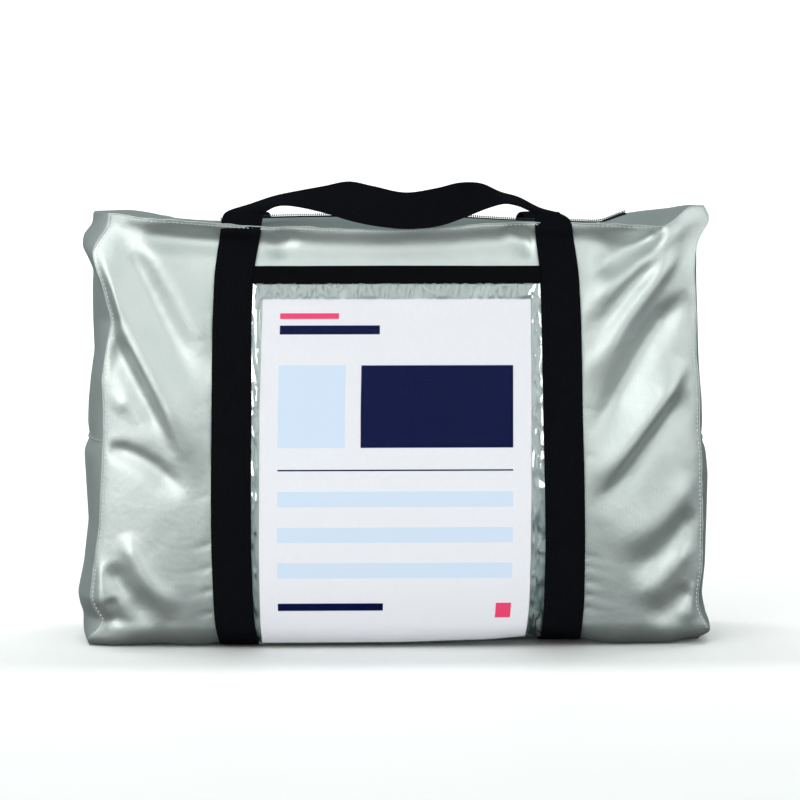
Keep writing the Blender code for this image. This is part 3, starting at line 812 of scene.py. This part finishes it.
def webbing():
    look = Look("black_webbing", (0.006, 0.0065, 0.009), 0.8)
    u, v = look.weave_place()
    rib = look.wave(u, 1.9)
    cross = look.wave(v, 1.5)
    shifted = look.wave(v, 1.5, np.pi)
    between = look.times(look.math("SUBTRACT", 1.0, rib), shifted)
    bead = look.math("ADD", look.times(rib, cross), between)
    dust = look.noise(90.0, 4.0, 0.65)
    share = look.math("MULTIPLY_ADD", bead, 0.55, look.times(dust, 0.4))
    look.link(look.blend(share, (0.0008, 0.001, 0.0016), (0.0045, 0.005, 0.007)), "Base Color")
    look.link(look.range(bead, 0.85, 0.6), "Roughness")
    look.set("Specular IOR Level", 0.04)
    look.link(look.bump(bead, 0.8, 0.0004, look.bump(dust, 0.15, 0.0004)), "Normal")
    return look.made


def tape_cloth(name, colour_low, colour_high, pitch):
    """Grosgrain: fine ribs across the tape."""
    look = Look(name, colour_high, 0.7)
    look.set("Specular IOR Level", 0.02)
    u, v = look.weave_place()
    rib = look.wave(u, pitch)
    dust = look.noise(120.0, 3.0, 0.6)
    share = look.math("MULTIPLY_ADD", rib, 0.5, look.times(dust, 0.5))
    look.link(look.blend(share, colour_low, colour_high), "Base Color")
    look.link(look.range(dust, 0.55, 0.75), "Roughness")
    look.link(look.bump(rib, 0.6, 0.0002), "Normal")
    return look.made


def clear_film(left, right, low):
    """Film that lets the card through and throws back the lights, with painted glints (thin mirror-bright
    lines) outside these edges of it.
    """
    look = Look("clear_film", (0.93, 0.97, 0.97), 0.05)
    look.set("Metallic", 1.0)
    look.link(look.bump(look.noise(45.0, 2.0), 0.12, 0.003), "Normal")
    look.link(look.range(look.noise(30.0, 2.0), 0.03, 0.12), "Roughness")
    tree = look.tree
    clear = look.add("BsdfTransparent", Color=(0.975, 0.985, 0.985, 1.0))
    facing = look.add("LayerWeight", Blend=0.5).outputs["Facing"]
    share = look.math("MULTIPLY_ADD", look.math("POWER", facing, 4.0), 0.6, 0.006)
    u, v = look.weave_place()
    painted_glint_area = look.math("MAXIMUM", look.math("SUBTRACT", left, u), look.math("SUBTRACT", u, right))
    painted_glint_area = look.math("MAXIMUM", painted_glint_area, look.math("SUBTRACT", v, low))
    painted_glint_area = look.math("MINIMUM", look.math("MAXIMUM", look.times(painted_glint_area, 0.7), 0.0), 1.0)
    # Painted glints: along thin lines in the loose margins and strip, the film turns to its mirror shader.
    share = look.math("MULTIPLY_ADD", look.times(painted_glint_lines(look), painted_glint_area), 0.8, share)
    mix = tree.nodes.new("ShaderNodeMixShader")
    tree.links.new(share, mix.inputs[0])
    tree.links.new(clear.outputs[0], mix.inputs[1])
    tree.links.new(look.shader.outputs[0], mix.inputs[2])
    tree.links.new(mix.outputs[0], tree.nodes["Material Output"].inputs["Surface"])
    return look.made


def painted_glint_lines(look):
    """Painted glints: thin lines where the film is made mirror-bright, 1 on a line and 0 away from it."""
    lines = 0.0
    for stretch, width in (((150.0, 150.0, 26.0), 11.0), ((70.0, 70.0, 40.0), 16.0)):
        place = look.add("Mapping", Vector=look.place(), Scale=stretch)
        wander = look.add("TexNoise", Vector=place.outputs[0], Scale=1.0, Detail=1.0).outputs[0]
        off = look.math("ABSOLUTE", look.math("SUBTRACT", wander, 0.5))
        lines = look.math("MAXIMUM", look.math("MULTIPLY_ADD", off, -width, 1.0), lines)
    return lines


# The card's own generic print: left, right, low, high on the card in mm, then its colour.
CARD_PRINT = (
    (14, 60, 258, 262.5, "accent"),
    (14, 92, 246, 253, "navy"),
    (78, 196, 158, 222, "navy"),
    (14, 66, 158, 222, "pale"),
    (14, 196, 140, 141.2, "navy"),
    (14, 196, 112, 124, "pale"),
    (14, 196, 84, 96, "pale"),
    (14, 196, 56, 68, "pale"),
    (14, 96, 30, 36, "navy"),
    (184, 196, 24, 36, "accent"),
)
INKS = {"navy": (0.001, 0.003, 0.045), "pale": (0.6, 0.67, 0.8), "accent": (0.8, 0.06, 0.16)}


def printed_card():
    look = Look("printed_card", (0.8, 0.78, 0.82), 0.5)
    look.set("Specular IOR Level", 0.05)
    u, v = look.weave_place()
    paper = look.noise(300.0, 3.0, 0.6)
    colour = look.blend(paper, (0.73, 0.7, 0.745), (0.79, 0.76, 0.805))
    for left, right, low, high, ink in CARD_PRINT:
        inside = look.times(edge_of(look, u, left, 1), edge_of(look, u, right, -1))
        inside = look.times(inside, edge_of(look, v, low, 1))
        inside = look.times(inside, edge_of(look, v, high, -1))
        colour = look.blend(inside, colour, INKS[ink])
    look.link(colour, "Base Color")
    look.link(look.bump(paper, 0.05, 0.0002), "Normal")
    return look.made


def edge_of(look, at, place, direction):
    """0 before a printed edge and 1 past it, over a third of a millimetre."""
    slope = 3.0 * direction
    step = look.math("MULTIPLY_ADD", at, slope, -slope * place + 0.5)
    return look.math("MINIMUM", look.math("MAXIMUM", step, 0.0), 1.0)


def thread(name, colour):
    look = Look(name, colour, 0.5)
    look.set("Specular IOR Level", 0.1)
    turn = look.noise(900.0, 2.0)
    look.link(look.blend(turn, tuple(0.7 * c for c in colour), colour), "Base Color")
    look.link(look.bump(turn, 0.4, 0.0002), "Normal")
    return look.made


def zip_metal():
    look = Look("slider_metal", (0.06, 0.06, 0.065), 0.3, 0.9)
    wear = look.noise(400.0, 4.0, 0.6)
    look.link(look.range(wear, 0.22, 0.5), "Roughness")
    return look.made


def floor_paint():
    look = Look("pale_floor", (0.92, 0.92, 0.92), 0.6)
    look.link(look.blend(look.noise(3.0), (0.91, 0.91, 0.91), (0.93, 0.93, 0.93)), "Base Color")
    return look.made


# ---------------- pieces


def show(piece, slot, *nodes):
    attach(piece, BODY)
    if nodes:
        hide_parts(*nodes)
    return piece


def bag_cloth(front, back, look):
    left = gusset_side(front, back, 0, -1)
    right = gusset_side(front, back, -1, 1)
    ridge = np.sin(0.5 * np.pi * np.interp(GUSSET_LINES, RIDGE[:, 0], RIDGE[:, 1]))
    rise = soft_read(TOP_SEAM, front[-1, :, 0], 3)[:, None] * ridge[None, :]
    top = cap(front[-1], back[-1], left[-1], right[-1], rise)
    base = cap(front[0], back[0], left[0], right[0], np.zeros((COLUMNS, len(GUSSET_LINES))))
    flat = smooth(np.minimum(GUSSET_LINES, 1.0 - GUSSET_LINES) / BASE_FLAT_FROM)[None, :]
    base[1:-1, :, 2] += flat * (strap_rest()[1:-1, None] - base[1:-1, :, 2])
    made = mesh_piece("bag_cloth", [front, back, left, right, top, base], look)
    made.data.set_sharp_from_angle(angle=np.radians(70))
    return made, top, base


def webbing_ring(front, back, base, look):
    """All the webbing as the one sewn ring it is: handle, down, under, up, handle, down, under, up."""
    rise = LAYER_GAP + WEBBING_THICK / 2

    def run(name):
        band = columns_of(name + " strap")
        under = base[band].transpose(1, 0, 2)
        grid = np.concatenate([front[STRAP_TOP_ROW:0:-1, band], under, back[1 : STRAP_TOP_ROW + 1, band]])
        grid = grid + outward(grid) * rise
        return grid if name == "left" else grid[:, ::-1]

    left, right = run("left"), run("right")

    def loop(table, start, end):
        points = np.vstack([start[[0, -1]].reshape(-1), table, end[[0, -1]].reshape(-1)])
        edges = smooth_path(points, HANDLE_STATIONS)
        across = np.linspace(0, 1, left.shape[1])[None, :, None]
        return edges[:, None, :3] * (1 - across) + edges[:, None, 3:] * across

    front_loop = loop(FRONT_HANDLE, left[0], right[0])
    back_loop = loop(BACK_HANDLE, left[-1], right[-1])
    ring = np.concatenate([front_loop[:-1], right[:-1], back_loop[::-1][:-1], left[::-1][:-1]])
    around = np.roll(ring, -1, axis=0) - np.roll(ring, 1, axis=0)
    out = np.cross(np.gradient(ring, axis=1), around)
    out /= np.linalg.norm(out, axis=2, keepdims=True)
    for _ in range(3):
        out = out + np.roll(out, 1, axis=0) + np.roll(out, -1, axis=0)
        out /= np.linalg.norm(out, axis=2, keepdims=True)
    on_front = HANDLE_STATIONS + 30  # a row of the right strap on the front, where out is to -Y
    if out[on_front, len(WEBBING_PROFILE) // 2, 1] > 0:
        out = -out
    half = WEBBING_THICK / 2 * np.array(WEBBING_PROFILE)[None, :, None]
    made = layer_piece("webbing_ring", ring, out, -half, half, look, closed_rows=True)
    length = lengths(ring, 0)[-1].mean()
    return made, length


def seam_pieces(panels, gussets, silver, thread_look):
    """The turned edges where panels meet, and the threads beside them."""
    welts, threads = [], []
    for grid in panels:
        out = outward(grid)
        side = np.sign(grid[ROWS // 2, COLUMNS // 2, 1])
        edge = np.concatenate([grid[FIRST_SEAM_ROW:, 0], grid[-1, 1:-1], grid[FIRST_SEAM_ROW:, -1][::-1]])
        edge = even_line(edge, pitch=2.6)
        ripple = np.array([noise.noise(Vector(WELT_SWAY_SCALE * point)) for point in edge])
        edge += ripple[:, None] * np.array(WELT_SWAY) * (1, side, 1)
        welts.append(tube_grid(edge, radius=0.5))
        rows = slice(FIRST_SEAM_ROW, -CORNER_ROWS)
        for column in (0, -1):
            line, normals = inset_from_side(grid[rows], out[rows], column, distance=2.4)
            threads += stitch_grids(line, normals)
        along, along_out = (part[:, CORNER_ROWS:-CORNER_ROWS].transpose(1, 0, 2) for part in (grid, out))
        line, normals = inset_from_side(along, along_out, -1, distance=1.8)
        threads += stitch_grids(line, normals)
    for grid in gussets:
        row = int(np.argmin(np.abs(grid[:, 0, 2] - CROSS_SEAM_Z)))
        line, normals = grid[row, 1:-1], outward(grid)[row, 1:-1]
        off, up, down = 0.1, 1.2, 2.6
        welt = even_line(line + normals * off + (0, 0, up), pitch=3.0)
        welts.append(tube_grid(welt, radius=0.8))
        threads += stitch_grids(line - (0, 0, down), normals)
    return mesh_piece("seam_welts", welts, silver), mesh_piece("seam_threads", threads, thread_look)


def webbing_threads(front, back, look):
    """Threads along both edges of the straps on the two faces."""
    threads = []
    for grid in (front, back):
        out = outward(grid)
        for band in ("left strap", "right strap"):
            on_face = (slice(14, -8), columns_of(band))
            strip = grid[on_face] + out[on_face] * STRAP_REST
            for column in (0, -1):
                line, line_out = inset_from_side(strip, out[on_face], column, distance=2.6)
                threads += stitch_grids(line, line_out, pitch=3.2, length=2.3)
    return mesh_piece("webbing_threads", threads, look)


def zip_teeth(grid, look):
    """The coil down the middle of the zip tape, one bar for each turn."""
    middle = grid.shape[1] // 2
    out = outward(grid)
    centre = even_line(np.hstack([grid[:, middle], out[:, middle]]), pitch=1.7)
    across = np.zeros((len(COIL_ARCH), 3))
    across[:, 1] = np.linspace(-COIL_HALF_WIDTH, COIL_HALF_WIDTH, len(COIL_ARCH))
    bars = []
    for place in centre:
        arch = np.array(COIL_ARCH)[:, None] * place[3:]
        turn = place[:3] + across + arch + place[3:] * (LAYER_GAP + COIL_STAND)
        bars.append(tube_grid(turn, radius=0.62, sides=6))
    return mesh_piece("zip_coil", bars, look)


# Ripples of the film: scale of the noise across, lean, scale up, shift, how narrow they are, height.
UPRIGHT_RIPPLES = (0.16, 0.0, 0.035, 11.0, 3.2, 0.9)
SLANT_RIPPLES = (0.11, 0.06, 0.05, 17.0, 4.0, 0.6)
RIPPLE_OVER_CARD = 0.08  # share of a ripple's height that is left over the card
FILM_HELD = 1.5  # columns from the pocket's sides over which the film comes loose


def ripple_at(x, z, kind):
    across, lean, up, shift, narrow, height = kind
    off = abs(noise.noise(Vector((x * across + z * lean, z * up, shift))))
    return max(0.0, 1.0 - narrow * off) * height


def film_ripple(grid):
    """How far the loose film stands off: small over the card, more in the strip and the margins."""
    x, z = grid[:, :, 0], grid[:, :, 2]
    card_left, card_right = (soft_read(STRIPS, z, c, STRIPS_REACH) for c in (3, 4))
    margin = smooth(np.maximum(card_left - x, x - card_right) / 2.0)
    strip = smooth((z - CARD_TOP + 1.0) / 3.0)
    total = np.zeros_like(x)
    for at in np.ndindex(x.shape):
        total[at] = ripple_at(x[at], z[at], UPRIGHT_RIPPLES) + ripple_at(x[at], z[at], SLANT_RIPPLES)
    column = np.arange(x.shape[1])[None]
    held = smooth((BINDING_BOTTOM - z) / 2.0) * smooth((x.shape[1] - 1 - column) / FILM_HELD)
    held *= smooth(column / FILM_HELD)
    return total * (RIPPLE_OVER_CARD + (1.0 - RIPPLE_OVER_CARD) * np.maximum(margin, strip)) * held


front, back = panel(-1), panel(1)

silver = silver_cloth()
black = webbing()
cloth, top, base = bag_cloth(front, back, silver)
show(cloth, "silver_cloth", "bag_body")

ring, ring_length = webbing_ring(front, back, base, black)
show(ring, "webbing", "strap_left", "strap_right", "handle_front", "handle_back")

front_out = outward(front)
card_look = printed_card()
card_rows = slice(FILM_BOTTOM_ROW, CARD_TOP_ROW + 1)
card_columns = columns_of("card")
card = layer_piece("card", front[card_rows, card_columns], front_out[card_rows, card_columns],
                   LAYER_GAP, LAYER_GAP + CARD_THICK, card_look)
show(card, "card", "insert_card")

pocket = slice(last_column("left strap"), first_column("right strap") + 1)
film_rows = slice(FILM_BOTTOM_ROW, BINDING_ROW + 1)
film_low = 2 * LAYER_GAP + CARD_THICK
film_grid = front[film_rows, pocket]
film_stand = film_low + film_ripple(film_grid)[:, :, None]
left_margin, right_margin = (
    lengths(front[film_rows, columns_of(band)], 1)[:, -1].mean() for band in ("left margin", "right margin")
)
film_width = lengths(film_grid, 1)[:, -1].mean()
film_height = lengths(film_grid, 0)[-1].mean()
film_look = clear_film(left_margin - 1.0, film_width - right_margin + 0.5,
                       film_height - (BINDING_BOTTOM - CARD_TOP) + 1.0)
film = layer_piece("window_film", film_grid, front_out[film_rows, pocket],
                   film_stand, film_stand + FILM_THICK, film_look)
show(film, "clear_film", "pocket_window")

binding_look = tape_cloth("black_binding", (0.0008, 0.0011, 0.0014), (0.004, 0.0046, 0.006), 0.8)
binding_rows = slice(BINDING_ROW, BINDING_TOP_ROW + 1)
binding = layer_piece("binding", front[binding_rows, pocket], front_out[binding_rows, pocket],
                      LAYER_GAP, LAYER_GAP + BINDING_THICK, binding_look)
show(binding, "binding", "pocket_binding")

zip_look = tape_cloth("zip_tape", (0.005, 0.005, 0.006), (0.02, 0.02, 0.023), 0.7)
inside = np.flatnonzero((front[-1, :, 0] > ZIP_SHOWS_FROM) & (front[-1, :, 0] < ZIP_HALF_LENGTH))
lines = np.flatnonzero((GUSSET_LINES >= ZIP_EDGES[0] - 0.01) & (GUSSET_LINES <= ZIP_EDGES[1] + 0.01))
zip_grid = top[inside[0] : inside[-1] + 1, lines[0] : lines[-1] + 1]
zip_tape = layer_piece("zip_tape", zip_grid, outward(zip_grid),
                       LAYER_GAP, LAYER_GAP + ZIP_TAPE_THICK, zip_look)
show(zip_tape, "zip_tape", "zip")

thread_light = thread("silver_thread", (0.78, 0.82, 0.8))
thread_dark = thread("black_thread", (0.005, 0.0055, 0.007))
gussets = (gusset_side(front, back, 0, -1), gusset_side(front, back, -1, 1))
welts, threads = seam_pieces((front, back), gussets, silver, thread_light)
show(welts, "silver_cloth")
show(threads, "silver_cloth")
show(webbing_threads(front, back, thread_dark), "webbing")
show(zip_teeth(zip_grid, zip_metal()), "zip_tape")


# ---------------- floor, light, camera


def stage_sweep():
    """Pale floor that curves up into the wall behind the bag."""
    half_width, near, start, radius, wall = 5.0, -5.0, 2.2, 0.8, 2.4
    bend = np.linspace(0, np.pi / 2, 25)
    profile = [(near, 0.0), (0.0, 0.0)]
    profile += [(start + radius * np.sin(a), radius * (1 - np.cos(a))) for a in bend]
    profile += [(start + radius, wall)]
    points = [(x, y, z - 0.0005) for y, z in profile for x in (-half_width, half_width)]
    faces = [(2 * i, 2 * i + 1, 2 * i + 3, 2 * i + 2) for i in range(len(profile) - 1)]
    mesh = bpy.data.meshes.new("sweep")
    mesh.from_pydata(points, [], faces)
    mesh.materials.append(floor_paint())
    mesh.shade_smooth()
    made = add_object("sweep", mesh)
    made.visible_glossy = False


def point(made, place, direction):
    """Puts a lamp or camera at a place, looking in a direction."""
    made.location = place
    made.rotation_mode = "QUATERNION"
    made.rotation_quaternion = direction.to_track_quat("-Z", "Y")


def softbox(name, place, size, power, aim=(0.0, 0.0, 0.17)):
    lamp = bpy.data.lights.new(name, "AREA")
    lamp.shape = "RECTANGLE"
    lamp.size, lamp.size_y = size
    lamp.energy = power
    lamp.color = (1.0, 0.985, 0.965)
    made = add_object(name, lamp)
    point(made, place, Vector(aim) - Vector(place))
    return made


# Axis, where along it the light starts and stops growing, and its strength at both.
WORLD_SLOPES = (("Z", -0.5, 0.12, 0.02, 0.66), ("Y", -0.6, 0.7, 1.0, 0.35), ("X", 0.0, 0.9, 1.0, 0.5))


def studio_world():
    """Dim surroundings, brighter above and in front of the bag than below and behind it."""
    world = bpy.data.worlds.new("studio")
    bpy.context.scene.world = world
    world.use_nodes = True
    tree = world.node_tree
    split = tree.nodes.new("ShaderNodeSeparateXYZ")
    tree.links.new(tree.nodes.new("ShaderNodeTexCoord").outputs["Generated"], split.inputs[0])
    strength = None
    for axis, low, high, dark, light in WORLD_SLOPES:
        ramp = tree.nodes.new("ShaderNodeMapRange")
        ramp.interpolation_type = "SMOOTHSTEP"
        for socket, value in zip(ramp.inputs[1:5], (low, high, dark, light)):
            socket.default_value = value
        tree.links.new(split.outputs[axis], ramp.inputs[0])
        if strength is None:
            strength = ramp.outputs[0]
        else:
            both = tree.nodes.new("ShaderNodeMath")
            both.operation = "MULTIPLY"
            tree.links.new(strength, both.inputs[0])
            tree.links.new(ramp.outputs[0], both.inputs[1])
            strength = both.outputs[0]
    tint = tree.nodes.new("ShaderNodeMix")
    tint.data_type = "RGBA"
    tree.links.new(strength, tint.inputs["Factor"])
    tint.inputs[6].default_value = (0.66, 0.93, 0.95, 1.0)
    tint.inputs[7].default_value = (1.0, 0.99, 0.95, 1.0)
    shade = tree.nodes["Background"]
    tree.links.new(tint.outputs[2], shade.inputs["Color"])
    tree.links.new(strength, shade.inputs["Strength"])


# The photo's frame is 800 pixels wide, and a millimetre at the bag's front covers 1.29 of them.
FRAME_PIXELS = 800
PIXELS_PER_MM = 1.29
CAMERA_AZIMUTH = -1.5
CAMERA_HEIGHT_ANGLE = 6.0
CAMERA_DISTANCE = 2400.0
CAMERA_TARGET = np.array((3.3, -68.0, 195.6))


def photo_camera():
    azimuth, height = np.radians(CAMERA_AZIMUTH), np.radians(CAMERA_HEIGHT_ANGLE)
    back = np.array((np.sin(azimuth) * np.cos(height), -np.cos(azimuth) * np.cos(height), np.sin(height)))
    data = bpy.data.cameras.new("photo_camera")
    data.sensor_width = 36.0
    data.lens = 36.0 * CAMERA_DISTANCE * PIXELS_PER_MM / FRAME_PIXELS
    data.clip_end = 50.0
    made = add_object("photo_camera", data)
    point(made, (CAMERA_TARGET + CAMERA_DISTANCE * back) * MM, Vector(-back))
    bpy.context.scene.camera = made


stage_sweep()
studio_world()
softbox("key_left", (-1.9, -2.1, 1.25), (2.5, 2.3), 50)
softbox("key_right", (1.9, -2.1, 1.25), (2.5, 2.3), 29)
softbox("wall_wash", (0.0, 0.6, 2.6), (4.0, 0.6), 90, aim=(0.0, 2.6, 0.2)).visible_glossy = False
photo_camera()
bpy.context.scene.view_settings.view_transform = "Standard"
